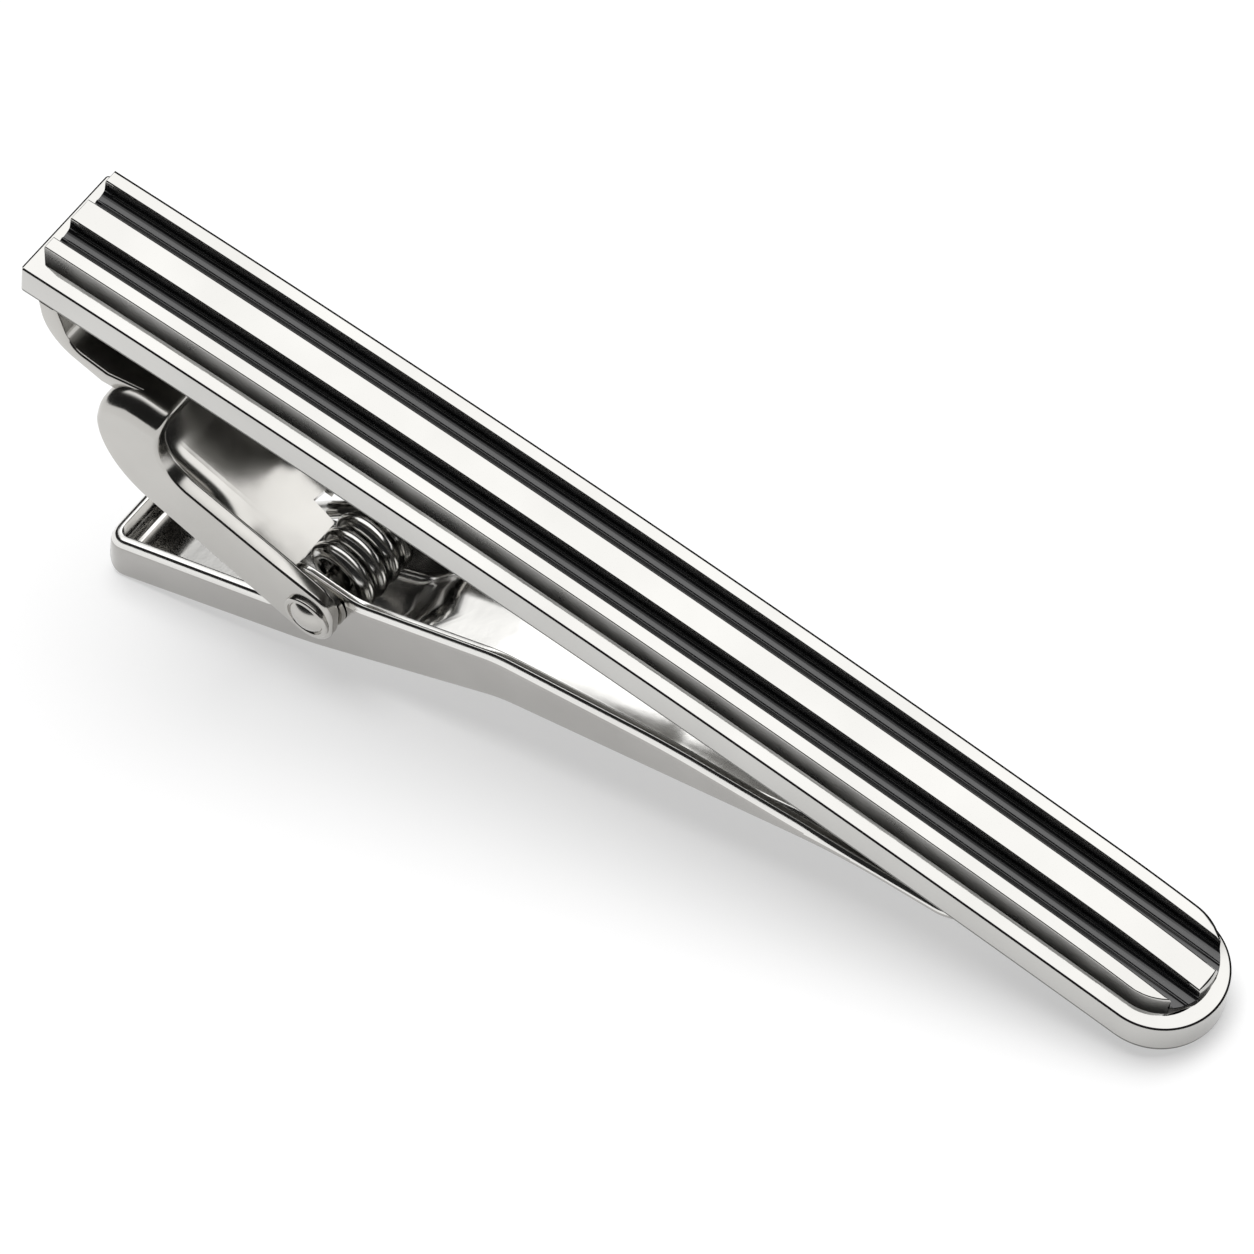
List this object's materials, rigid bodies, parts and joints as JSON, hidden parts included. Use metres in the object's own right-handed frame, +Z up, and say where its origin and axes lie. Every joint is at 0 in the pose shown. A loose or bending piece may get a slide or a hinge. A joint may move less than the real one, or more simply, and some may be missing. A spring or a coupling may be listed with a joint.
{
  "type": "tie clip",
  "caption": "Sprung tie clip: an arched bar with a ridged, enamelled face, a hinge bracket under its square end and a tray-shaped lever that closes on the bar's back.",
  "frame": {"origin": "middle of the clip's box, on the surface that its tail and its tip rest on", "axes": "+X towards the round tip, +Y across the clip to its far side, +Z up"},
  "size_m": [0.0568, 0.0078, 0.0218],
  "materials": {
    "bar_metal": "polished plating",
    "bracket_metal": "polished plating",
    "black_enamel": "gloss enamel",
    "spring_wire": "drawn wire"
  },
  "bodies": {
    "clip_frame": {"front_bar": "bar_metal", "ridged_face_plate": "bar_metal", "enamel_strip_near": "black_enamel", "enamel_strip_far": "black_enamel", "hinge_bracket": "bracket_metal", "hinge_pin": "bracket_metal", "torsion_spring": "spring_wire", "pivot_washer_near": "bracket_metal", "pivot_washer_far": "bracket_metal"},
    "lever": {"clip_lever": "bracket_metal"}
  },
  "joints": [
    {"name": "lever_hinge", "type": "hinge", "parent": "clip_frame", "child": "lever", "pos_m": [-0.01499, 0, 0.00546], "axis": [0, 1, 0], "range_deg": [0, 25], "stiffness_Nm_per_rad": 0.03, "springref_deg": -51.57, "deforming": ["torsion_spring"]}
  ]
}
